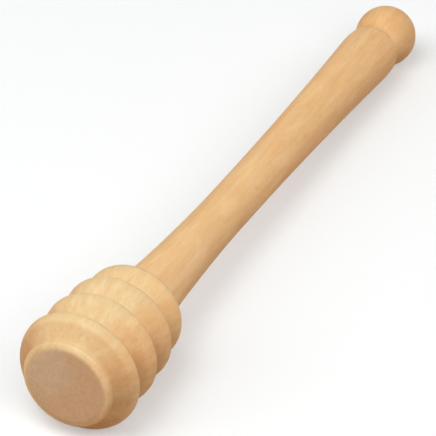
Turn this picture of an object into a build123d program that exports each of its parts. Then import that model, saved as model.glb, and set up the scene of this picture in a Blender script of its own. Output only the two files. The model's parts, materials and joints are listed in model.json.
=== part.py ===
"""Honey dipper, turned from pale wood in two pieces, in millimetres.

A grooved beehive head is bored from behind, and a slim waisted handle with a
ball at its end is glued into that bore by a round tenon. The dipper lies on a
table as it is laid down in use: on its largest ridge and on the ball. +X runs
from the head's flat end to the ball, +Z is up, and the origin is on the table
under the middle of the dipper's length.
"""
from build123d import *
import os
from math import acos, atan, atan2, cos, degrees, hypot, radians, sin, tan

# Head: flat end with a soft roll round it, the lip's tighter round, and the
# shallow cove behind the lip
head_length = 32.2
head_radius = 13.44
face_radius = 8.0
face_roll = 3.2
face_roll_angle = 30.0
lip_round = 0.8
cove_radius = 0.9

# Ridges, from the flat end to the back: where each crest lies along the head,
# how far out it stands, how fast its straight front climbs, and the round that
# leads from the front over to the crest
crest_place_shares = (0.198, 0.464, 0.7, 0.902)
crest_radius_shares = (1.0, 0.96, 0.914, 0.819)
front_rise_shares = (1.2, 0.75, 0.58, 0.36)
front_round_shares = (0.238, 0.335, 0.342, 0.402)
crest_round = 0.87
back_round = 3.1

# Honey grooves: each falls steeply from a crest to a round floor, where the
# next ridge's front begins
groove_floor_round = 0.5
groove_back_angle = 15.0

# Handle: widest at the root and near the ball, thinnest at its waist
handle_length = 115.9
root_radius = 6.75
waist_radius = 5.03
swell_radius = 6.42
shoulder_radius = 6.25
shoulder_round = 1.4
waist_place_share = 0.368
swell_place_share = 0.967

# Ball knob and the neck groove in front of it
ball_radius = 7.03
neck_radius = 5.2
neck_floor_round = 2.2
neck_back_angle = 50.0

# Glued joint: tenon on the handle, blind bore in the head
tenon_radius = 3.5
tenon_length = 18.0
tenon_chamfer = 0.5
glue_gap = 0.12
glue_pool = 0.6

axle = Axis.X


def middle_of_arc(centre, start, end):
    """The middle of the short arc about a centre, from start to end."""
    reach = hypot(start[0] - centre[0], start[1] - centre[1])
    along = (start[0] + end[0]) / 2 - centre[0]
    out = (start[1] + end[1]) / 2 - centre[1]
    scale = reach / hypot(along, out)
    return (centre[0] + along * scale, centre[1] + out * scale)


def arc_about(centre, start, end):
    """An arc about a centre, from start to end."""
    return ThreePointArc(start, middle_of_arc(centre, start, end), end)


def roll_over(crest, rounding, back_angle):
    """Centre and end of the round that leads from a crest to its steep back."""
    centre = (crest[0], crest[1] - rounding)
    turned = radians(back_angle)
    end = (centre[0] + rounding * cos(turned), centre[1] + rounding * sin(turned))
    return centre, end


def groove_floor(back_start, back_angle, floor_radius, rounding):
    """Centre of a groove's round floor, and where the groove's back runs into it."""
    turned = radians(back_angle)
    centre_out = floor_radius + rounding
    centre_along = back_start[0] + (back_start[1] - centre_out) * tan(turned) + rounding / cos(turned)
    centre = (centre_along, centre_out)
    back_end = (centre[0] - rounding * cos(turned), centre[1] - rounding * sin(turned))
    return centre, back_end


def front_top(crest, rise, rounding):
    """Where a ridge's straight front ends and its round begins, and the front's angle."""
    climb = atan(rise)
    return (crest[0] - rounding * sin(climb), crest[1] - rounding * (1 - cos(climb))), climb


def above_front(top, climb, rounding):
    """A point as far above the line of a front as a round floor's centre is."""
    return (top[0] - rounding * sin(climb), top[1] + rounding * cos(climb))


def floor_by_back(top, climb, back_start, back_angle, rounding):
    """Centre of the round floor between a groove's steep back and a front."""
    turned = radians(back_angle)
    line = above_front(top, climb, rounding)
    reach = back_start[0] - line[0] + (back_start[1] - line[1]) * tan(turned) + rounding / cos(turned)
    along = reach / (cos(climb) + sin(climb) * tan(turned))
    return (line[0] + along * cos(climb), line[1] + along * sin(climb))


def floor_by_lip(top, climb, lip_centre, lip_rounding, rounding):
    """Centre of the round floor between the lip and a front."""
    line = above_front(top, climb, rounding)
    aside = (line[0] - lip_centre[0], line[1] - lip_centre[1])
    nearest = -(aside[0] * cos(climb) + aside[1] * sin(climb))
    reach = (lip_rounding + rounding) ** 2 - aside[0] ** 2 - aside[1] ** 2 + nearest ** 2
    along = nearest + reach ** 0.5
    return (line[0] + along * cos(climb), line[1] + along * sin(climb))


crests = []
for place_share, radius_share in zip(crest_place_shares, crest_radius_shares):
    crests.append((head_length * place_share, head_radius * radius_share))
front_rounds = [head_radius * round_share for round_share in front_round_shares]


def head_outline():
    """The head's outer edge, from the middle of the flat end to its back face."""
    turned_roll = radians(face_roll_angle)
    roll_start = (0, face_radius)
    roll_centre = (face_roll, face_radius)
    roll_end = (
        face_roll * (1 - cos(turned_roll)),
        face_radius + face_roll * sin(turned_roll),
    )
    inner = face_roll - lip_round
    lip_centre = (
        face_roll - inner * cos(turned_roll),
        face_radius + inner * sin(turned_roll),
    )
    lip_top = (lip_centre[0], lip_centre[1] + lip_round)
    edges = [
        Line((0, 0), roll_start),
        arc_about(roll_centre, roll_start, roll_end),
        arc_about(lip_centre, roll_end, lip_top),
    ]
    back_start = None
    for crest, rise, front_round in zip(crests, front_rise_shares, front_rounds):
        top, climb = front_top(crest, rise, front_round)
        if back_start:
            turned_back = radians(groove_back_angle)
            floor_round = groove_floor_round
            floor_centre = floor_by_back(top, climb, back_start, groove_back_angle, floor_round)
            floor_start = (
                floor_centre[0] - floor_round * cos(turned_back),
                floor_centre[1] - floor_round * sin(turned_back),
            )
            edges.append(Line(back_start, floor_start))
        else:
            floor_round = cove_radius
            floor_centre = floor_by_lip(top, climb, lip_centre, lip_round, floor_round)
            share = lip_round / (lip_round + floor_round)
            floor_start = (
                lip_centre[0] + (floor_centre[0] - lip_centre[0]) * share,
                lip_centre[1] + (floor_centre[1] - lip_centre[1]) * share,
            )
            edges.append(arc_about(lip_centre, lip_top, floor_start))
        floor_end = (
            floor_centre[0] + floor_round * sin(climb),
            floor_centre[1] - floor_round * cos(climb),
        )
        edges.append(arc_about(floor_centre, floor_start, floor_end))
        edges.append(Line(floor_end, top))
        edges.append(arc_about((crest[0], crest[1] - front_round), top, crest))
        if crest != crests[-1]:
            round_centre, back_start = roll_over(crest, crest_round, groove_back_angle)
            edges.append(arc_about(round_centre, crest, back_start))
    last = crests[-1]
    back_length = head_length - last[0]
    back_edge = (head_length, last[1] - back_round)
    back_centre = (last[0], back_edge[1])
    edges.append(EllipticalCenterArc(back_centre, back_length, back_round, arc_size=90))
    edges.append(Line(back_edge, (head_length, 0)))
    edges.append(Line((head_length, 0), (0, 0)))
    return edges


def turned(edges):
    """A solid of revolution about the turning axis, from its half outline."""
    return revolve(Plane.XZ * make_face(Curve() + edges), axle)


def round_bar(start, end, radius):
    """A plain cylinder along the turning axis."""
    return Plane.YZ.offset(start) * Cylinder(
        radius, end - start, align=(Align.CENTER, Align.CENTER, Align.MIN)
    )


bore_radius = tenon_radius + glue_gap
tenon_end = head_length - tenon_length
bore_end = tenon_end - glue_pool


def make_head():
    return turned(head_outline()) - round_bar(bore_end, head_length, bore_radius)


def level_arc(level, end):
    """The arc that runs level at one point, along the axis, and reaches another."""
    along = end[0] - level[0]
    out = end[1] - level[1]
    bend = (along ** 2 + out ** 2) / (2 * out)
    return arc_about((level[0], level[1] + bend), level, end)


waist = (head_length + handle_length * waist_place_share, waist_radius)
swell = (head_length + handle_length * swell_place_share, swell_radius)
shoulder = (head_length + handle_length, shoulder_radius)
shoulder_centre, neck_back_start = roll_over(shoulder, shoulder_round, neck_back_angle)
neck_centre, neck_back_end = groove_floor(
    neck_back_start, neck_back_angle, neck_radius, neck_floor_round
)
ball_reach = ball_radius + neck_floor_round
ball_place = neck_centre[0] + (ball_reach ** 2 - neck_centre[1] ** 2) ** 0.5
ball_tip = ball_place + ball_radius


def make_handle():
    tenon_shoulder = tenon_radius - tenon_chamfer
    touch = ball_radius / ball_reach
    ball_start = (
        ball_place + (neck_centre[0] - ball_place) * touch,
        neck_centre[1] * touch,
    )
    ball_top = (ball_place, ball_radius)
    waist_to_swell = level_arc(waist, swell)
    edges = [
        Line((tenon_end, 0), (tenon_end, tenon_shoulder)),
        Line((tenon_end, tenon_shoulder), (tenon_end + tenon_chamfer, tenon_radius)),
        Line((tenon_end + tenon_chamfer, tenon_radius), (head_length, tenon_radius)),
        Line((head_length, tenon_radius), (head_length, root_radius)),
        level_arc(waist, (head_length, root_radius)),
        waist_to_swell,
        TangentArc(swell, shoulder, tangent=waist_to_swell % 1),
        arc_about(shoulder_centre, shoulder, neck_back_start),
        Line(neck_back_start, neck_back_end),
        arc_about(neck_centre, neck_back_end, ball_start),
        arc_about((ball_place, 0), ball_start, ball_top),
        arc_about((ball_place, 0), ball_top, (ball_tip, 0)),
        Line((ball_tip, 0), (tenon_end, 0)),
    ]
    return turned(edges)


def make_glue(handle):
    """The film that fills the bore round the tenon, with a pool past its end."""
    return round_bar(bore_end, head_length, bore_radius) - handle


def rest_lean():
    """How far the axis dips towards the ball, in degrees: the table touches
    the round behind the first crest and the ball."""
    out = crests[0][1] - crest_round
    along = ball_place - crests[0][0]
    spare = ball_radius - crest_round
    return degrees(acos(spare / hypot(out, along)) - atan2(along, out))


def laid_down(pieces):
    """Lays the pieces on the table and centres the dipper over the origin."""
    lean = rest_lean()
    height = ball_place * sin(radians(lean)) + ball_radius
    leaned = [Pos(0, 0, height) * Rot(0, lean, 0) * piece for piece in pieces]
    extent = Compound(leaned).bounding_box()
    return [Pos(-(extent.min.X + extent.max.X) / 2, 0, 0) * piece for piece in leaned]


def main():
    head = make_head()
    handle = make_handle()
    glue = make_glue(handle)
    names = ("head", "handle", "glue_film")
    os.makedirs("parts", exist_ok=True)
    for name, piece in zip(names, laid_down([head, handle, glue])):
        export_step(piece, f"parts/{name}.step")


main()
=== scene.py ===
"""Dresses the honey dipper: turned beech for the head and the handle, glue, floor, lamps and camera."""

import json
from math import atan, atan2, cos, hypot, pi, radians, sin, tan
from types import SimpleNamespace

import bmesh
import bpy
from bpy.props import FloatProperty, FloatVectorProperty, IntProperty, PointerProperty
from mathutils import Matrix, Vector


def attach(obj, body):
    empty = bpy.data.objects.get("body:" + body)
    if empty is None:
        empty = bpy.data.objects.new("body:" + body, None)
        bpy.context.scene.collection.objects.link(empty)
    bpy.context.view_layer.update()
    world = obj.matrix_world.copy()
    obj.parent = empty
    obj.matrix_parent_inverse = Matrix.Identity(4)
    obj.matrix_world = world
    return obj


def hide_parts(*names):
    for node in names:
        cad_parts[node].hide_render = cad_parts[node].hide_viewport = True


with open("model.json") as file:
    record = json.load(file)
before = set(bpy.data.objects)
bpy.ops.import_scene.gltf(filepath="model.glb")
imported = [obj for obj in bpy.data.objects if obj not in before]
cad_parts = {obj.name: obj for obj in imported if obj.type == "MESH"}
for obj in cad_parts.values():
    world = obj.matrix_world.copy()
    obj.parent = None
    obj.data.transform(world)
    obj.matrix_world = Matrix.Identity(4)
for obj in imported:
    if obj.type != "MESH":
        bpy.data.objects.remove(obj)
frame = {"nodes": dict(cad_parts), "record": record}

bl_info = {
    "name": "Honey Dipper",
    "version": (1, 0, 0),
    "blender": (4, 5, 0),
    "location": "View3D > Sidebar > Dipper",
    "description": "Turns and finishes a wooden honey dipper on its packed frame",
    "category": "Object",
}

# The frame's one mount is the head's flat end: the turning axis starts in its
# middle and runs into the wood, against its outward normal.
FLAT_END = frame["record"]["mounts"][0]
FACE_CENTRE = Vector(FLAT_END["pos_m"])
GRAIN = -Vector(FLAT_END["axis"]).normalized()
LEAN = atan2(-GRAIN.z, GRAIN.x)
MM = 0.001

# Points nearer than this, in metres, become one
WELD_DISTANCE = 1e-7

# The two blanks, in mm along, across and above the turning axis from the middle
# of the flat end. The shift takes each blank from wood of its own, and the heart is
# where the tree's was, across and above. The tone of the rubbed lip goes from none
# to full over lip_reach, out from the axis, and over lip_along, along it. A band
# gives where a tone starts, is full, begins to fade and ends: the cove's along the
# axis, and the painted groove shade's from where the groove begins. That painted
# shade darkens the grooves only inside a soft oval on the head's lower right side,
# where shade falls. A patch is a soft oval where the colour is made paler or
# deeper: its centre, its reach and its tint. Some patches are tones of the wood,
# others are painted light and shade: deeper on the lower right and underneath,
# where shade falls, paler on some upper faces, where the light falls, and on the
# handle a painted highlight by the neck. The handle has no lip or groove.
HEAD_BLANK = {
    "shift": 0.0,
    "heart": (-23.3, -5.5),
    "lip_reach": (8.2, 9.3),
    "lip_along": (2.15, 1.35),
    "cove_band": (1.25, 1.7, 2.2, 3.2),
    "groove_shade_band": (-0.5, 0.5, 2.6, 5.4),
    # Painted shade: the grooves are darkened only inside this oval, on the lower right side of the head
    "groove_shade_side": {"centre": (12, -13, -4), "reach": (24, 12, 12)},
    # Tones of the wood and painted light and shade: the first patch is painted shade over the lower right
    # side, the one low by the flat end is painted shade underneath, and the bright one behind the last
    # crest is painted light
    "tone_and_shading_patches": (
        ((20, -15, -8), (34, 15, 14), (1.00, 0.91, 0.83)),
        ((14, -11, 6), (20, 9, 9), (1.08, 0.95, 0.88)),
        ((3, 12, 2), (17, 12, 12), (0.90, 0.83, 0.82)),
        ((6, 12, 2), (22, 6, 6), (0.91, 0.83, 0.75)),
        ((15, -3.8, 11.3), (28, 6, 6), (1.00, 1.02, 1.02)),
        ((16, 10, 8.5), (18, 5, 5), (1.00, 0.93, 0.91)),
        ((3, -11.5, 1), (5, 8, 8), (0.93, 0.89, 0.89)),
        ((1, -3, -10), (12, 8, 8), (0.96, 0.80, 0.66)),
        ((30.5, -8, 7), (5, 13, 11), (1.12, 1.08, 1.03)),
        ((26.8, 0, 0), (3.2, 40, 40), (1.01, 0.97, 0.93)),
    ),
    "lip_patches": (
        ((1, -7.6, 5.4), (5, 6, 6), (1.10, 1.05, 1.07)),
        ((1, -7.5, -6), (5, 7, 7), (1.00, 0.93, 0.90)),
        ((1, 6.5, 7.0), (5, 6, 6), (0.95, 0.90, 0.83)),
    ),
    "end_patches": (
        ((0, 5.5, 3.5), (9, 9, 10), (1.04, 1.16, 1.30)),
    ),
}
HANDLE_BLANK = {
    "shift": 40.0,
    "heart": (-24.9, -16.5),
    "lip_reach": None,
    # Tones of the wood and painted light and shade: deeper on the lower right side, where shade falls, and
    # paler on the upper side and by the root, where the light falls
    "tone_and_shading_patches": (
        ((38, -3, 4), (34, 6, 7), (1.02, 1.05, 1.09)),
        ((118, -8, -2), (50, 7, 8), (0.95, 0.94, 0.91)),
        ((60, -7, -2), (35, 5, 5), (0.93, 0.95, 1.00)),
        ((120, 3, 5), (35, 4, 4), (1.07, 1.05, 1.04)),
        ((156, -4, 5), (20, 8, 8), (0.98, 0.93, 0.88)),
        ((153, 5, 6), (6, 6, 6), (0.96, 0.92, 0.86)),
        # The paler, bluish patches on this line and on the last one are painted highlights by the neck,
        # just past the shoulder
        ((151, -4.5, 1), (3, 6, 7), (1.05, 1.11, 1.23)),
        ((156, -6, 2), (4, 5, 6), (0.94, 0.95, 0.97)),
        ((149, -4.5, 4.5), (3.5, 7, 7), (1.05, 1.07, 1.09)),
    ),
    "lip_patches": (),
    "end_patches": (),
}

# Share of a patch's reach that has its whole tint
PATCH_CORE = 0.35

# How far the fibres wander in all, in mm along, across and above
FIBRE_WANDER = (0.0, 2.4, 2.4)

# Faint rings that the gouge has left, in each mm along
GOUGE_RINGS = 2.6

# Tints: straw-coloured and rosy as the wood grew, oiled and torn where the gouge
# crossed the fibres, and a painted shade that darkens the grooves
STRAW = (1.02, 1.08, 1.16)
ROSY = (0.99, 0.93, 0.9)
OILED = (0.91, 0.83, 0.77)
TORN = (0.86, 0.82, 0.78)
GROOVE_SHADE = (0.82, 0.79, 0.78)

# Soft boxes: name, degrees anticlockwise from the camera's side as seen from above,
# degrees up, power in watts, colour
LAMPS = (
    ("key", 315, 66, 5.2, (0.96, 1.0, 1.0)),
    ("front", 30, 45, 3.65, (1.0, 0.98, 0.95)),
    ("left", 285, 28, 2.98, (0.96, 1.0, 1.0)),
    ("right", 115, 15, 2.46, (1.0, 1.0, 1.0)),
    ("back", 180, 20, 0.85, (1.0, 1.0, 1.0)),
)


class DipperSizes(bpy.types.PropertyGroup):
    """The turner's sizes, the same as the solids have, and how finely the meshes are cut."""

    head_length: FloatProperty(
        name="Head length", description="From the flat end to the back",
        default=32.2 * MM, unit="LENGTH",
    )
    head_radius: FloatProperty(
        name="Head radius", description="At the largest ridge",
        default=13.44 * MM, unit="LENGTH",
    )
    face_radius: FloatProperty(
        name="Flat end radius", description="Up to the start of its soft roll",
        default=8.0 * MM, unit="LENGTH",
    )
    face_roll: FloatProperty(
        name="Flat end roll", description="Radius of the soft roll from the flat end to the lip",
        default=3.2 * MM, unit="LENGTH",
    )
    face_roll_angle: FloatProperty(
        name="Flat end roll angle", description="How far the soft roll turns",
        default=radians(30), subtype="ANGLE",
    )
    lip_round: FloatProperty(
        name="Lip round", description="Radius of the lip's outer round",
        default=0.8 * MM, unit="LENGTH",
    )
    cove_radius: FloatProperty(
        name="Cove round", description="Radius of the hollow behind the lip",
        default=0.9 * MM, unit="LENGTH",
    )
    crest_places: FloatVectorProperty(
        name="Crest places", description="Where each crest lies, as shares of the head's length",
        size=4, default=(0.198, 0.464, 0.7, 0.902),
    )
    crest_reaches: FloatVectorProperty(
        name="Crest reaches", description="How far out each crest stands, as shares of the head's radius",
        size=4, default=(1.0, 0.96, 0.914, 0.819),
    )
    front_rises: FloatVectorProperty(
        name="Front rises",
        description="How fast each ridge's straight front climbs, per length along the head",
        size=4, default=(1.2, 0.75, 0.58, 0.36),
    )
    front_rounds: FloatVectorProperty(
        name="Front rounds",
        description="Round from each front over to its crest, as shares of the head's radius",
        size=4, default=(0.238, 0.335, 0.342, 0.402),
    )
    crest_round: FloatProperty(
        name="Crest round", description="Radius behind each crest",
        default=0.87 * MM, unit="LENGTH",
    )
    back_round: FloatProperty(
        name="Back round", description="Fall of the head's rounded back",
        default=3.1 * MM, unit="LENGTH",
    )
    groove_floor_round: FloatProperty(
        name="Groove floor round", description="Radius of a groove's floor",
        default=0.5 * MM, unit="LENGTH",
    )
    groove_back_angle: FloatProperty(
        name="Groove back angle", description="Lean of a groove's steep side",
        default=radians(15), subtype="ANGLE",
    )
    handle_length: FloatProperty(
        name="Handle length", description="From the root to the shoulder by the ball",
        default=115.9 * MM, unit="LENGTH",
    )
    root_radius: FloatProperty(
        name="Root radius", description="Handle at the head",
        default=6.75 * MM, unit="LENGTH",
    )
    root_break: FloatProperty(
        name="Root edge", description="Rounding of the handle's edge at the seam",
        default=0.18 * MM, unit="LENGTH",
    )
    waist_radius: FloatProperty(
        name="Waist radius", description="Handle at its thinnest",
        default=5.03 * MM, unit="LENGTH",
    )
    swell_radius: FloatProperty(
        name="Swell radius", description="Handle at its thickest near the ball",
        default=6.42 * MM, unit="LENGTH",
    )
    shoulder_radius: FloatProperty(
        name="Shoulder radius", description="Handle at the neck groove",
        default=6.25 * MM, unit="LENGTH",
    )
    shoulder_round: FloatProperty(
        name="Shoulder round", description="Radius at the neck groove's edge",
        default=1.4 * MM, unit="LENGTH",
    )
    waist_place: FloatProperty(
        name="Waist place", description="As a share of the handle's length", default=0.368,
    )
    swell_place: FloatProperty(
        name="Swell place", description="As a share of the handle's length", default=0.967,
    )
    ball_radius: FloatProperty(
        name="Ball radius", description="Of the knob",
        default=7.03 * MM, unit="LENGTH",
    )
    neck_radius: FloatProperty(
        name="Neck radius", description="At the floor of the neck groove",
        default=5.2 * MM, unit="LENGTH",
    )
    neck_floor_round: FloatProperty(
        name="Neck floor round", description="Radius of the neck groove's floor",
        default=2.2 * MM, unit="LENGTH",
    )
    neck_back_angle: FloatProperty(
        name="Neck back angle", description="Lean of the neck groove's side",
        default=radians(50), subtype="ANGLE",
    )
    tenon_radius: FloatProperty(
        name="Tenon radius", description="Of the handle's round tenon",
        default=3.5 * MM, unit="LENGTH",
    )
    tenon_length: FloatProperty(
        name="Tenon length", description="How deep the tenon reaches into the head",
        default=18.0 * MM, unit="LENGTH",
    )
    tenon_chamfer: FloatProperty(
        name="Tenon chamfer", description="At the tenon's tip",
        default=0.5 * MM, unit="LENGTH",
    )
    glue_gap: FloatProperty(
        name="Glue gap", description="Between tenon and bore",
        default=0.12 * MM, unit="LENGTH",
    )
    glue_pool: FloatProperty(
        name="Glue pool", description="Past the tenon's tip",
        default=0.6 * MM, unit="LENGTH",
    )
    turns: IntProperty(
        name="Turns", description="Faces round the axis", default=168, min=24, max=400,
    )
    stroke: FloatProperty(
        name="Stroke", description="Longest edge on a curve of the outline, save a long flat one",
        default=0.2 * MM, unit="LENGTH",
    )
    stroke_angle: FloatProperty(
        name="Stroke angle", description="Most that a curve turns at one edge",
        default=radians(7), subtype="ANGLE",
    )
    flat_stroke_angle: FloatProperty(
        name="Flat stroke angle", description="Least that a long flat curve turns at one edge",
        default=radians(0.35), subtype="ANGLE",
    )
    crisp_angle: FloatProperty(
        name="Crisp angle", description="Edges that turn more than this aren't shaded smooth",
        default=radians(30), subtype="ANGLE",
    )


class DipperFinish(bpy.types.PropertyGroup):
    """Colours and grain of the wood."""

    head_pale: FloatVectorProperty(
        name="Head, pale wood", description="Between the fibres",
        subtype="COLOR", default=(0.85, 0.61, 0.325),
    )
    head_deep: FloatVectorProperty(
        name="Head, deep wood", description="In the fibres and rings",
        subtype="COLOR", default=(0.70, 0.475, 0.235),
    )
    head_end: FloatVectorProperty(
        name="Head, sawn end", description="Where the fibres are cut across",
        subtype="COLOR", default=(0.613, 0.376, 0.215),
    )
    handle_pale: FloatVectorProperty(
        name="Handle, pale wood", description="Between the fibres",
        subtype="COLOR", default=(0.90, 0.558, 0.266),
    )
    handle_deep: FloatVectorProperty(
        name="Handle, deep wood", description="In the fibres and rings",
        subtype="COLOR", default=(0.745, 0.435, 0.192),
    )
    handle_end: FloatVectorProperty(
        name="Handle, sawn end", description="Where the fibres are cut across",
        subtype="COLOR", default=(0.62, 0.37, 0.19),
    )
    ring_width: FloatProperty(
        name="Ring width", description="Between two growth rings, in mm", default=2.3,
    )
    fibre_width: FloatProperty(
        name="Fibre width", description="Of the fine streaks, in mm", default=0.3,
    )
    fleck_width: FloatProperty(
        name="Fleck width", description="Of the ray flecks, in mm", default=0.22,
    )


class DipperStage(bpy.types.PropertyGroup):
    """Camera, lamps and floor."""

    look_down: FloatProperty(
        name="Look down", description="Camera above the horizon",
        default=radians(35.82), subtype="ANGLE",
    )
    look_round: FloatProperty(
        name="Look round", description="Camera turned from looking along +Y",
        default=radians(-63.47), subtype="ANGLE",
    )
    face_distance: FloatProperty(
        name="Face distance", description="From the camera to the middle of the flat end, along its view",
        default=0.7, unit="LENGTH",
    )
    focal_pixels: FloatProperty(
        name="Focal length", description="In pixels of the photograph's frame", default=3500.0,
    )
    frame_pixels: FloatProperty(
        name="Frame", description="Side of the photograph's frame, in pixels", default=436.0,
    )
    face_pixel: FloatVectorProperty(
        name="Face pixel", description="Where the flat end's middle lies in the frame",
        size=2, default=(64.99, 386.85),
    )
    floor_reach: FloatProperty(
        name="Floor reach", description="From the floor's middle to its edge",
        default=3.0, unit="LENGTH",
    )
    floor_colour: FloatVectorProperty(
        name="Floor", description="Colour of the floor, as it is seen",
        subtype="COLOR", default=(0.985, 0.985, 0.985),
    )
    floor_glow: FloatProperty(
        name="Floor glow",
        description="Share of the floor's colour that is seen even in the shadow, and lights nothing",
        default=0.34, min=0.0, max=1.0,
    )
    floor_bounce: FloatVectorProperty(
        name="Floor bounce", description="Colour of the light that the floor sends back to the wood",
        subtype="COLOR", default=(0.45, 0.315, 0.225),
    )
    lamp_aim: FloatProperty(
        name="Lamp aim", description="How far along the dipper the lamps point",
        default=0.07, unit="LENGTH",
    )
    lamp_distance: FloatProperty(
        name="Lamp distance", description="From the point that the lamps are aimed at",
        default=0.9, unit="LENGTH",
    )
    lamp_size: FloatProperty(
        name="Lamp size", description="Side of each soft box",
        default=0.6, unit="LENGTH",
    )


class Wire:
    """An output socket that can be added, multiplied and raised like a number."""

    def __init__(self, socket):
        self.socket = socket
        self.tree = socket.id_data

    def node(self, kind, settings=None, output=0, **values):
        """Adds a node to this socket's tree."""
        return add_node(self.tree, kind, settings, output, **values)

    def maths(self, operation, first, second=None):
        """One Math node with this operation on these values."""
        return self.node("ShaderNodeMath", {"operation": operation}, Value=first, Value_001=second)

    def vectors(self, operation, second=None, output="Vector"):
        """One Vector Math node with this operation on this vector and another."""
        return self.node(
            "ShaderNodeVectorMath", {"operation": operation}, output,
            Vector=self, Vector_001=second,
        )

    def __add__(self, other):
        return self.maths("ADD", self, other)

    __radd__ = __add__

    def __sub__(self, other):
        return self.maths("SUBTRACT", self, other)

    def __rsub__(self, other):
        return self.maths("SUBTRACT", other, self)

    def __mul__(self, other):
        return self.maths("MULTIPLY", self, other)

    __rmul__ = __mul__

    def __pow__(self, other):
        return self.maths("POWER", self, other)


def find_socket(sockets, name):
    """A socket by its identifier or, failing that, by its name."""
    for socket in sockets:
        if socket.identifier == name:
            return socket
    return sockets[name.replace("_", " ")]


def add_node(tree, kind, settings=None, output=0, **values):
    """Adds a node, sets its own settings, then its sockets' values or links."""
    node = tree.nodes.new(kind)
    for key, value in (settings or {}).items():
        setattr(node, key, value)
    for name, value in values.items():
        if value is None:
            continue
        socket = find_socket(node.inputs, name)
        if isinstance(value, Wire):
            tree.links.new(value.socket, socket)
        else:
            socket.default_value = value
    out = node.outputs[output] if isinstance(output, int) else find_socket(node.outputs, output)
    return Wire(out)


def new_material(name):
    """An empty node material and its Principled shader."""
    material = bpy.data.materials.new(name)
    material.use_nodes = True
    tree = material.node_tree
    tree.nodes.clear()
    target = tree.nodes.new("ShaderNodeOutputMaterial")
    shader = tree.nodes.new("ShaderNodeBsdfPrincipled")
    tree.links.new(shader.outputs[0], target.inputs["Surface"])
    return material, tree, shader


def scaled(colour, share):
    """A plain colour made paler or deeper."""
    return tuple(part * share for part in colour)


def blend(factor, first, second):
    """Colour between two, by a factor."""
    ends = [colour if isinstance(colour, Wire) else (*colour, 1.0) for colour in (first, second)]
    return factor.node(
        "ShaderNodeMix", {"data_type": "RGBA", "blend_type": "MIX"}, "Result_Color",
        Factor_Float=factor, A_Color=ends[0], B_Color=ends[1],
    )


def tinted(colour, tint, amount):
    """A colour multiplied by a tint where the amount is 1, and left alone where it is 0."""
    return amount.node(
        "ShaderNodeMix", {"data_type": "RGBA", "blend_type": "MULTIPLY"}, "Result_Color",
        Factor_Float=amount, A_Color=colour, B_Color=(*tint, 1.0),
    )


def between(value, low, high, start=0.0, end=1.0):
    """A smooth step from start to end while the value goes from low to high."""
    return value.node(
        "ShaderNodeMapRange", {"interpolation_type": "SMOOTHSTEP"},
        Value=value, From_Min=low, From_Max=high, To_Min=start, To_Max=end,
    )


def band(value, starts, full, fades, ends):
    """A tone that rises from where it starts to where it is full, and fades again."""
    return between(value, starts, full) * between(value, ends, fades)


def split(vector):
    """The three parts of a vector."""
    return [vector.node("ShaderNodeSeparateXYZ", None, axis, Vector=vector) for axis in "XYZ"]


def noise(place, stretch, detail=2.0, roughness=0.5, shift=0.0, output="Fac"):
    """Noise whose grains are stretch mm long along the grain and across it. Each
    shift takes it from another place."""
    stretched = place.node(
        "ShaderNodeMapping", {"vector_type": "POINT"},
        Vector=place, Location=(shift, shift * 0.7, -shift), Scale=tuple(1 / length for length in stretch),
    )
    return place.node(
        "ShaderNodeTexNoise", {"noise_dimensions": "3D"}, output,
        Vector=stretched, Scale=1.0, Detail=detail, Roughness=roughness,
    )


def patch_at(place, centre, reach):
    """1 in the middle of a soft oval patch and 0 beyond its reach."""
    apart = place.vectors("SUBTRACT", centre).vectors("DIVIDE", reach)
    return between(apart.vectors("LENGTH", output="Value"), 1.0, PATCH_CORE)


def place_on_axis(tree):
    """Where a point lies, in mm along, across and above the turning axis."""
    spot = add_node(tree, "ShaderNodeTexCoord", output="Object")
    return spot.node(
        "ShaderNodeMapping", {"vector_type": "TEXTURE"},
        Vector=spot, Location=tuple(FACE_CENTRE), Rotation=(0, LEAN, 0), Scale=(MM, MM, MM),
    )


def place_in_tree(place, blank):
    """Where a point grew: along slowly wandering fibres, and then also as mm along
    the tree, round its heart and out from it. The heart lies outside the blank."""
    drift = noise(place, (70, 14, 14), detail=1, shift=blank["shift"], output="Color")
    wander = drift.vectors("SUBTRACT", (0.5, 0.5, 0.5)).vectors("MULTIPLY", FIBRE_WANDER)
    wood = place.vectors("ADD", wander)
    along, across, up = split(wood)
    side = across - blank["heart"][0]
    rise = up - blank["heart"][1]
    out = (side * side + rise * rise) ** 0.5
    swing = side.maths("ARCTAN2", rise, side) * hypot(*blank["heart"])
    return wood, place.node("ShaderNodeCombineXYZ", X=along, Y=swing, Z=out), out


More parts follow.
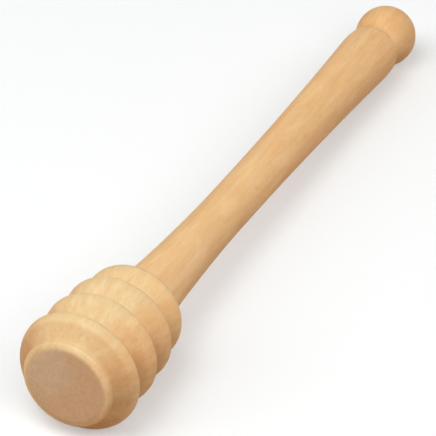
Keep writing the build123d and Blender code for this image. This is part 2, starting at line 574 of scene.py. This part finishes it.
def wood_marks(place, blank, finish):
    """What growth has left in the wood, and where it tears. Rings, pores, flecks, rays,
    arcs, specks and torn streaks go from 0 to 1 with soft edges, the other tones are
    plain noise, and wood is the place where the point grew."""
    wood, ray_place, out = place_in_tree(place, blank)
    shift = blank["shift"]
    fibre = finish.fibre_width
    fleck = finish.fleck_width
    ring = out.maths("COSINE", out * (2 * pi / finish.ring_width)) * 0.5 + 0.5
    return SimpleNamespace(
        wood=wood,
        rings=ring ** 4.0,
        broad=noise(wood, (60, 4.5, 4.5), detail=2, shift=shift + 3),
        streaks=noise(wood, (22, 0.9, 0.9), detail=3, roughness=0.55, shift=shift + 7),
        fibres=noise(wood, (9, fibre, fibre), detail=2, roughness=0.6, shift=shift + 11),
        straw=noise(wood, (11, 2.6, 2.6), detail=2, roughness=0.6, shift=shift + 31),
        cloud=noise(wood, (5, 1.6, 1.6), detail=2, roughness=0.6, shift=shift + 37),
        pores=between(noise(wood, (1.4, 0.16, 0.16), detail=0, shift=shift + 19), 0.66, 0.78),
        flecks=between(noise(ray_place, (1.7, fleck, 5), detail=1, shift=shift + 23), 0.62, 0.74),
        rays=between(noise(ray_place, (3, 0.2, 2.2), detail=1, shift=shift + 41), 0.48, 0.7),
        arcs=between(noise(ray_place, (3, 1.9, 0.24), detail=1, shift=shift + 43), 0.48, 0.7),
        specks=between(noise(wood, (4, 0.34, 0.34), detail=1, shift=shift + 47), 0.54, 0.74),
        torn=between(noise(wood, (7, 0.55, 0.55), detail=2, roughness=0.6, shift=shift + 53), 0.42, 0.7),
    )


def turned_surface(place, blank):
    """How the gouge has met the fibres: how squarely it cut them, where it crossed
    them, where it cut them off, and where the lip round the flat end is rubbed."""
    along, across, up = split(place)
    facing = add_node(place.tree, "ShaderNodeTexCoord", output="Normal")
    cut = facing.vectors("DOT_PRODUCT", tuple(GRAIN), "Value")
    cut = cut.maths("ABSOLUTE", cut)
    crossed = between(cut, 0.5, 0.8)
    sawn = between(cut, 0.86, 0.985)
    rubbed = None
    if blank["lip_reach"]:
        reach = (across * across + up * up) ** 0.5
        rubbed = between(reach, *blank["lip_reach"]) * between(along, *blank["lip_along"])
        cove = band(along, *blank["cove_band"])
        crossed = crossed.maths("MAXIMUM", crossed, cove) * (1 - rubbed)
        sawn = sawn * (1 - rubbed)
    return SimpleNamespace(along=along, cut=cut, crossed=crossed, sawn=sawn, rubbed=rubbed)


def long_grain_colour(marks, pale, deep):
    """Wood along the grain: the marks darken it, and straw-coloured and rosy patches lie in it."""
    dark = marks.rings * 0.08 + between(marks.broad, 0.3, 0.7) * 0.2
    dark = dark + between(marks.streaks, 0.25, 0.75) * 0.26 + between(marks.fibres, 0.2, 0.8) * 0.18
    dark = dark + between(marks.cloud, 0.3, 0.7) * 0.12
    colour = blend(dark, pale, deep)
    colour = blend(marks.flecks * 0.11, colour, scaled(deep, 0.6))
    colour = blend(marks.pores * 0.14, colour, scaled(deep, 0.6))
    straw = tuple(part * share for part, share in zip(pale, STRAW))
    colour = blend(between(marks.straw, 0.5, 0.68) * 0.45, colour, straw)
    return tinted(colour, ROSY, between(marks.straw, 0.5, 0.34))


def end_grain_colour(marks, end, tone_and_shading_patches):
    """Sawn wood: rays as pale lines from the heart, arcs across them, and pale specks."""
    colour = blend(between(marks.cloud, 0.3, 0.7), scaled(end, 1.04), scaled(end, 0.95))
    colour = blend(marks.rays * 0.45, colour, scaled(end, 1.22))
    colour = blend(marks.arcs * 0.4, colour, scaled(end, 0.78))
    colour = blend(marks.specks * 0.5, colour, scaled(end, 1.25))
    colour = blend(marks.pores * 0.5, colour, scaled(end, 0.6))
    for centre, reach, tint in tone_and_shading_patches:
        colour = tinted(colour, tint, patch_at(marks.wood, centre, reach))
    return colour


def worked_colour(colour, place, marks, surface, blank, grooves):
    """What the gouge, the oil and the hand have done to the colour along the grain,
    the painted shade in the grooves, and patches that make it paler or deeper: some
    are tones of the wood and some are painted light and shade."""
    # Where the gouge crosses the fibres they drink the oil: a warmer tone, drawn in short dark streaks
    colour = tinted(colour, OILED, surface.crossed)
    colour = tinted(colour, TORN, marks.torn * between(surface.cut, 0.35, 0.7) * 0.3)
    # Painted shade: each groove, with the foot of the front behind it, is darkened on the head's lower
    # right side, where shade falls
    for groove in grooves:
        groove_shade = band(surface.along, *[groove + apart for apart in blank["groove_shade_band"]])
        colour = tinted(colour, GROOVE_SHADE, groove_shade * patch_at(place, **blank["groove_shade_side"]))
    # Patches: tones of the wood, and painted light and shade on the sides that the light reaches or misses
    for centre, reach, tint in blank["tone_and_shading_patches"]:
        amount = patch_at(marks.wood, centre, reach)
        if surface.rubbed:
            amount = amount * (1 - surface.rubbed * 0.8)
        colour = tinted(colour, tint, amount)
    for centre, reach, tint in blank["lip_patches"]:
        colour = tinted(colour, tint, patch_at(marks.wood, centre, reach) * surface.rubbed)
    return colour


def wood_relief(marks, surface):
    """Height in mm: fibres stand a hair proud, pores and flecks are shallow pits, the
    gouge has left the faintest rings along the work, and on sawn wood rays and specks
    stand above the arcs."""
    gouge = surface.along.node(
        "ShaderNodeTexNoise", {"noise_dimensions": "1D"}, "Fac",
        W=surface.along * GOUGE_RINGS, Scale=1.0, Detail=2.0, Roughness=0.6,
    )
    height = marks.fibres * 0.025 + marks.streaks * 0.03 + gouge * 0.02
    height = height - marks.pores * 0.02 - marks.flecks * 0.01
    return height + (marks.rays * 0.02 - marks.arcs * 0.02 + marks.specks * 0.02) * surface.sawn


def beech(name, tones, finish, blank, grooves=()):
    """Fine-sanded beech, solid through the wood of one blank. The tones are its pale
    wood, its deep wood and its sawn end. The grooves are where each begins, in mm along."""
    material, tree, shader = new_material(name)
    pale, deep, end = [tuple(tone) for tone in tones]
    place = place_on_axis(tree)
    marks = wood_marks(place, blank, finish)
    surface = turned_surface(place, blank)
    colour = worked_colour(long_grain_colour(marks, pale, deep), place, marks, surface, blank, grooves)
    colour = blend(surface.sawn * 0.96, colour, end_grain_colour(marks, end, blank["end_patches"]))
    rough = between(marks.fibres, 0.2, 0.8, start=0.56, end=0.68) + surface.sawn * 0.12
    rough = rough - marks.specks * surface.sawn * 0.05
    bump = place.node(
        "ShaderNodeBump", None, "Normal",
        Strength=0.6, Distance=MM, Height=wood_relief(marks, surface),
    )
    tree.links.new(colour.socket, shader.inputs["Base Color"])
    tree.links.new(rough.socket, shader.inputs["Roughness"])
    tree.links.new(bump.socket, shader.inputs["Normal"])
    shader.inputs["IOR"].default_value = 1.45
    shader.inputs["Specular IOR Level"].default_value = 0.35
    return material


def dried_glue(name):
    """Dried wood glue: cream, slightly glossy, a little uneven."""
    material, tree, shader = new_material(name)
    spot = add_node(tree, "ShaderNodeTexCoord", output="Object")
    cloud = spot.node(
        "ShaderNodeTexNoise", {"noise_dimensions": "3D"}, "Fac", Vector=spot, Scale=900.0, Detail=3.0,
    )
    colour = blend(cloud, (0.78, 0.66, 0.42), (0.60, 0.46, 0.25))
    rough = between(cloud, 0.2, 0.8, start=0.25, end=0.45)
    bump = spot.node("ShaderNodeBump", None, "Normal", Strength=0.4, Distance=0.05 * MM, Height=cloud)
    tree.links.new(colour.socket, shader.inputs["Base Color"])
    tree.links.new(rough.socket, shader.inputs["Roughness"])
    tree.links.new(bump.socket, shader.inputs["Normal"])
    return material


class Outline:
    """A half outline drawn as a turning tool runs: straight cuts, and arcs about a centre."""

    def __init__(self, sizes, start):
        self.sizes = sizes
        self.bm = bmesh.new()
        self.tip = self.bm.verts.new((start[0], 0, start[1]))

    def line(self, end, steps=1):
        """A straight cut to a point."""
        start = self.tip.co.copy()
        for step in range(1, steps + 1):
            new = bmesh.ops.extrude_vert_indiv(self.bm, verts=[self.tip])["verts"][0]
            new.co = start.lerp(Vector((end[0], 0, end[1])), step / steps)
            self.tip = new

    def arc(self, centre, end):
        """The short arc about a centre that ends towards a point."""
        sizes = self.sizes
        start = Vector((self.tip.co.x - centre[0], self.tip.co.z - centre[1]))
        goal = Vector((end[0] - centre[0], end[1] - centre[1]))
        angle = start.angle_signed(goal)
        turned = abs(angle)
        steps = max(2, round(turned * start.length / sizes.stroke), round(turned / sizes.stroke_angle))
        steps = min(steps, max(2, round(turned / sizes.flat_stroke_angle)))
        done = bmesh.ops.spin(
            self.bm, geom=[self.tip], cent=(centre[0], 0, centre[1]), axis=(0, 1, 0),
            angle=angle, steps=steps,
        )
        self.tip = [item for item in done["geom_last"] if isinstance(item, bmesh.types.BMVert)][0]

    def turned(self, name):
        """Spins the outline round the axis into a closed mesh, and lays it where the frame has it."""
        bm = self.bm
        bmesh.ops.spin(
            bm, geom=bm.verts[:] + bm.edges[:], cent=(0, 0, 0), axis=(1, 0, 0),
            angle=2 * pi, steps=self.sizes.turns, use_merge=True,
        )
        bmesh.ops.remove_doubles(bm, verts=bm.verts[:], dist=WELD_DISTANCE)
        bmesh.ops.recalc_face_normals(bm, faces=bm.faces[:])
        bmesh.ops.rotate(bm, verts=bm.verts[:], cent=(0, 0, 0), matrix=Matrix.Rotation(LEAN, 3, "Y"))
        bmesh.ops.translate(bm, verts=bm.verts[:], vec=FACE_CENTRE)
        mesh = bpy.data.meshes.new(name)
        bm.to_mesh(mesh)
        bm.free()
        mesh.shade_smooth()
        mesh.set_sharp_from_angle(angle=self.sizes.crisp_angle)
        piece = bpy.data.objects.new(name, mesh)
        bpy.context.scene.collection.objects.link(piece)
        return piece


def roll_over(crest, rounding, back_angle):
    """Centre and end of the round that leads from a crest to its steep back."""
    centre = (crest[0], crest[1] - rounding)
    end = (centre[0] + rounding * cos(back_angle), centre[1] + rounding * sin(back_angle))
    return centre, end


def groove_floor(back_start, back_angle, floor_radius, rounding):
    """Centre of a groove's round floor, and where the groove's back runs into it."""
    centre_out = floor_radius + rounding
    along = (back_start[1] - centre_out) * tan(back_angle) + rounding / cos(back_angle)
    centre = (back_start[0] + along, centre_out)
    back_end = (centre[0] - rounding * cos(back_angle), centre[1] - rounding * sin(back_angle))
    return centre, back_end


def front_top(crest, rise, rounding):
    """Where a ridge's straight front ends and its round begins, and the front's angle."""
    climb = atan(rise)
    return (crest[0] - rounding * sin(climb), crest[1] - rounding * (1 - cos(climb))), climb


def above_front(top, climb, rounding):
    """A point as far above the line of a front as a round floor's centre is."""
    return (top[0] - rounding * sin(climb), top[1] + rounding * cos(climb))


def floor_by_back(top, climb, back_start, back_angle, rounding):
    """Centre of the round floor between a groove's steep back and a front."""
    line = above_front(top, climb, rounding)
    aside = (back_start[0] - line[0], back_start[1] - line[1])
    reach = aside[0] + aside[1] * tan(back_angle) + rounding / cos(back_angle)
    along = reach / (cos(climb) + sin(climb) * tan(back_angle))
    return (line[0] + along * cos(climb), line[1] + along * sin(climb))


def floor_by_lip(top, climb, lip_centre, lip_rounding, rounding):
    """Centre of the round floor between the lip and a front."""
    line = above_front(top, climb, rounding)
    aside = (line[0] - lip_centre[0], line[1] - lip_centre[1])
    nearest = -(aside[0] * cos(climb) + aside[1] * sin(climb))
    reach = (lip_rounding + rounding) ** 2 - aside[0] ** 2 - aside[1] ** 2 + nearest ** 2
    along = nearest + reach ** 0.5
    return (line[0] + along * cos(climb), line[1] + along * sin(climb))


def level_centre(level, end):
    """Centre of the arc that runs level at one point, along the axis, and reaches another."""
    along = end[0] - level[0]
    out = end[1] - level[1]
    return (level[0], level[1] + (along ** 2 + out ** 2) / (2 * out))


def crest_points(sizes):
    """Where each crest lies, along the axis and out from it."""
    shares = zip(sizes.crest_places, sizes.crest_reaches)
    return [(sizes.head_length * place, sizes.head_radius * reach) for place, reach in shares]


def groove_places(sizes):
    """Where each honey groove begins, just behind its crest, in mm along the head."""
    behind = sizes.crest_round + sizes.groove_floor_round
    return [(crest[0] + behind) / MM for crest in crest_points(sizes)[:-1]]


def head_outline(sizes):
    """The head from the middle of the flat end round its outside, and down its bore."""
    outline = Outline(sizes, (0, 0))
    outline.line((0, sizes.face_radius), steps=24)
    roll = sizes.face_roll
    back = cos(sizes.face_roll_angle)
    out = sin(sizes.face_roll_angle)
    outline.arc((roll, sizes.face_radius), (roll * (1 - back), sizes.face_radius + roll * out))
    inner = roll - sizes.lip_round
    lip_centre = (roll - inner * back, sizes.face_radius + inner * out)
    outline.arc(lip_centre, (lip_centre[0], lip_centre[1] + sizes.lip_round))
    crests = crest_points(sizes)
    angle = sizes.groove_back_angle
    back_start = None
    for crest, rise, share in zip(crests, sizes.front_rises, sizes.front_rounds):
        front_round = sizes.head_radius * share
        top, climb = front_top(crest, rise, front_round)
        if back_start:
            floor_round = sizes.groove_floor_round
            floor = floor_by_back(top, climb, back_start, angle, floor_round)
            back_end = (floor[0] - floor_round * cos(angle), floor[1] - floor_round * sin(angle))
            outline.line(back_end, steps=12)
        else:
            floor_round = sizes.cove_radius
            floor = floor_by_lip(top, climb, lip_centre, sizes.lip_round, floor_round)
            outline.arc(lip_centre, floor)
        outline.arc(floor, (floor[0] + floor_round * sin(climb), floor[1] - floor_round * cos(climb)))
        outline.line(top, steps=8)
        outline.arc((crest[0], crest[1] - front_round), crest)
        if crest != crests[-1]:
            round_centre, back_start = roll_over(crest, sizes.crest_round, angle)
            outline.arc(round_centre, back_start)
    # The back falls away in a quarter of an ellipse
    last = crests[-1]
    fall = sizes.head_length - last[0]
    steps = 30
    for step in range(1, steps + 1):
        turn = step / steps * pi / 2
        outline.line((last[0] + fall * sin(turn), last[1] - sizes.back_round * (1 - cos(turn))))
    bore_radius = sizes.tenon_radius + sizes.glue_gap
    bore_end = sizes.head_length - sizes.tenon_length - sizes.glue_pool
    outline.line((sizes.head_length, bore_radius), steps=12)
    outline.line((bore_end, bore_radius), steps=20)
    outline.line((bore_end, 0), steps=6)
    return outline


def handle_outline(sizes):
    """The handle from the tip of its tenon to the tip of its ball."""
    root = sizes.head_length
    tenon_end = root - sizes.tenon_length
    waist = (root + sizes.handle_length * sizes.waist_place, sizes.waist_radius)
    swell = (root + sizes.handle_length * sizes.swell_place, sizes.swell_radius)
    shoulder = (root + sizes.handle_length, sizes.shoulder_radius)
    angle = sizes.neck_back_angle
    round_centre, back_start = roll_over(shoulder, sizes.shoulder_round, angle)
    neck_centre, back_end = groove_floor(back_start, angle, sizes.neck_radius, sizes.neck_floor_round)
    reach = sizes.ball_radius + sizes.neck_floor_round
    ball = neck_centre[0] + (reach ** 2 - neck_centre[1] ** 2) ** 0.5
    outline = Outline(sizes, (tenon_end, 0))
    outline.line((tenon_end, sizes.tenon_radius - sizes.tenon_chamfer), steps=4)
    outline.line((tenon_end + sizes.tenon_chamfer, sizes.tenon_radius))
    outline.line((root, sizes.tenon_radius), steps=16)
    # The root's edge is broken by a small round
    edge = sizes.root_break
    outline.line((root, sizes.root_radius - edge), steps=8)
    outline.arc((root + edge, sizes.root_radius - edge), (root + edge, sizes.root_radius))
    outline.arc(level_centre(waist, (root, sizes.root_radius)), waist)
    waist_to_swell = level_centre(waist, swell)
    outline.arc(waist_to_swell, swell)
    # The swell rolls on from the long curve without a corner
    rise = (swell[0] - waist_to_swell[0], swell[1] - waist_to_swell[1])
    span = (shoulder[0] - swell[0], shoulder[1] - swell[1])
    bend = (span[0] ** 2 + span[1] ** 2) / (2 * (span[0] * rise[0] + span[1] * rise[1]))
    outline.arc((swell[0] + rise[0] * bend, swell[1] + rise[1] * bend), shoulder)
    outline.arc(round_centre, back_start)
    outline.line(back_end, steps=4)
    outline.arc(neck_centre, (ball, 0))
    outline.arc((ball, 0), (ball, sizes.ball_radius))
    outline.arc((ball, 0), (ball + sizes.ball_radius, 0))
    return outline


def finish_piece(piece, material, node):
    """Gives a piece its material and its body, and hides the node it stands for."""
    piece.data.materials.append(material)
    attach(piece, "root")
    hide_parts(node)


class DIPPER_OT_head(bpy.types.Operator):
    """Turns the ridged head, with its lip, cove, honey grooves and blind bore"""

    bl_idname = "dipper.head"
    bl_label = "Head"

    def execute(self, context):
        sizes = context.scene.dipper_sizes
        finish = context.scene.dipper_finish
        piece = head_outline(sizes).turned("dipper_head")
        tones = (finish.head_pale, finish.head_deep, finish.head_end)
        wood = beech("beech_head", tones, finish, HEAD_BLANK, groove_places(sizes))
        finish_piece(piece, wood, "head")
        return {"FINISHED"}


class DIPPER_OT_handle(bpy.types.Operator):
    """Turns the waisted handle, with its tenon, shoulder, neck groove and ball"""

    bl_idname = "dipper.handle"
    bl_label = "Handle"

    def execute(self, context):
        sizes = context.scene.dipper_sizes
        finish = context.scene.dipper_finish
        piece = handle_outline(sizes).turned("dipper_handle")
        tones = (finish.handle_pale, finish.handle_deep, finish.handle_end)
        wood = beech("beech_handle", tones, finish, HANDLE_BLANK)
        finish_piece(piece, wood, "handle")
        return {"FINISHED"}


class DIPPER_OT_glue(bpy.types.Operator):
    """Finishes the glue between tenon and bore"""

    bl_idname = "dipper.glue"
    bl_label = "Glue"

    def execute(self, context):
        film = frame["nodes"]["glue_film"]
        film.data.materials.clear()
        film.data.materials.append(dried_glue("dried_glue"))
        return {"FINISHED"}


def floor_finish(name, stage):
    """A matt floor. What is seen of it is pale and partly glows, so the shadow on it
    stays light, and what it sends back to the wood has the bounce's own colour."""
    material, tree, shader = new_material(name)
    rays = ("Is Camera Ray", "Is Glossy Ray", "Is Transmission Ray")
    seen, mirrored, through = [add_node(tree, "ShaderNodeLightPath", output=ray) for ray in rays]
    seen = seen.maths("MAXIMUM", seen.maths("MAXIMUM", seen, mirrored), through)
    lit = blend(seen, tuple(stage.floor_bounce), scaled(stage.floor_colour, 1 - stage.floor_glow))
    glow = blend(seen, (0, 0, 0), scaled(stage.floor_colour, stage.floor_glow))
    tree.links.new(lit.socket, shader.inputs["Base Color"])
    tree.links.new(glow.socket, shader.inputs["Emission Color"])
    shader.inputs["Emission Strength"].default_value = 1.0
    shader.inputs["Roughness"].default_value = 0.9
    shader.inputs["Specular IOR Level"].default_value = 0.0
    return material


def lay_floor(stage):
    """A flat floor under the dipper."""
    bm = bmesh.new()
    bmesh.ops.create_grid(bm, x_segments=1, y_segments=1, size=stage.floor_reach)
    mesh = bpy.data.meshes.new("floor")
    bm.to_mesh(mesh)
    bm.free()
    mesh.materials.append(floor_finish("floor", stage))
    floor = bpy.data.objects.new("floor", mesh)
    bpy.context.scene.collection.objects.link(floor)


def view_sides(stage):
    """The directions to the right of the camera's view, above it and ahead."""
    level = cos(stage.look_down)
    ahead = Vector((-sin(stage.look_round) * level, cos(stage.look_round) * level, -sin(stage.look_down)))
    right = ahead.cross(Vector((0, 0, 1))).normalized()
    return right, right.cross(ahead), ahead


def place_camera(stage):
    """A camera that sees the middle of the flat end where the photograph has it."""
    right, above, ahead = view_sides(stage)
    turn = Matrix((right, above, -ahead)).transposed()
    half = stage.frame_pixels / 2
    depth = stage.face_distance
    face_seen = Vector((
        (stage.face_pixel[0] - half) / stage.focal_pixels * depth,
        (half - stage.face_pixel[1]) / stage.focal_pixels * depth,
        -depth,
    ))
    data = bpy.data.cameras.new("camera")
    data.lens = stage.focal_pixels / stage.frame_pixels * data.sensor_width
    camera = bpy.data.objects.new("camera", data)
    camera.matrix_world = Matrix.Translation(FACE_CENTRE - turn @ face_seen) @ turn.to_4x4()
    bpy.context.scene.collection.objects.link(camera)
    bpy.context.scene.camera = camera


def hang_lamps(stage):
    """The soft boxes round the dipper, all facing one point of it."""
    ahead = view_sides(stage)[2]
    camera_side = atan2(-ahead.y, -ahead.x)
    middle = FACE_CENTRE + GRAIN * stage.lamp_aim
    for name, round_by, up_by, power, colour in LAMPS:
        turn = camera_side + radians(round_by)
        level = cos(radians(up_by))
        away = Vector((cos(turn) * level, sin(turn) * level, sin(radians(up_by))))
        data = bpy.data.lights.new(name, "AREA")
        data.size = stage.lamp_size
        data.energy = power
        data.color = colour
        lamp = bpy.data.objects.new(name, data)
        lamp.location = middle + away * stage.lamp_distance
        lamp.rotation_euler = (-away).to_track_quat("-Z", "Y").to_euler()
        bpy.context.scene.collection.objects.link(lamp)


def darken_sky():
    """A world that gives no light, because the soft boxes give it all."""
    world = bpy.data.worlds.new("sky")
    world.use_nodes = True
    world.node_tree.nodes["Background"].inputs["Strength"].default_value = 0.0
    bpy.context.scene.world = world


class DIPPER_OT_stage(bpy.types.Operator):
    """Sets the floor, the camera, the lamps and the sky"""

    bl_idname = "dipper.stage"
    bl_label = "Stage"

    def execute(self, context):
        stage = context.scene.dipper_stage
        lay_floor(stage)
        place_camera(stage)
        hang_lamps(stage)
        darken_sky()
        context.scene.view_settings.view_transform = "Standard"
        return {"FINISHED"}


class DIPPER_PT_panel(bpy.types.Panel):
    """Lists the dipper's pieces and its main settings"""

    bl_idname = "DIPPER_PT_panel"
    bl_label = "Honey Dipper"
    bl_space_type = "VIEW_3D"
    bl_region_type = "UI"
    bl_category = "Dipper"

    def draw(self, context):
        layout = self.layout
        for operator in OPERATORS:
            layout.operator(operator.bl_idname)
        scene = context.scene
        for group in (scene.dipper_sizes, scene.dipper_finish, scene.dipper_stage):
            box = layout.box()
            for name in group.__annotations__:
                box.prop(group, name)


OPERATORS = (DIPPER_OT_head, DIPPER_OT_handle, DIPPER_OT_glue, DIPPER_OT_stage)
CLASSES = (DipperSizes, DipperFinish, DipperStage, *OPERATORS, DIPPER_PT_panel)


def register():
    """Registers the classes and hangs the three groups of settings on the scene."""
    for cls in CLASSES:
        bpy.utils.register_class(cls)
    bpy.types.Scene.dipper_sizes = PointerProperty(type=DipperSizes)
    bpy.types.Scene.dipper_finish = PointerProperty(type=DipperFinish)
    bpy.types.Scene.dipper_stage = PointerProperty(type=DipperStage)


def unregister():
    """Takes away all that register has added."""
    del bpy.types.Scene.dipper_stage
    del bpy.types.Scene.dipper_finish
    del bpy.types.Scene.dipper_sizes
    for cls in reversed(CLASSES):
        bpy.utils.unregister_class(cls)


def main():
    """Builds the dressed dipper."""
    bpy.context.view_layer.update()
    register()
    bpy.ops.dipper.head()
    bpy.ops.dipper.handle()
    bpy.ops.dipper.glue()
    bpy.ops.dipper.stage()


if __name__ == "__main__":
    main()
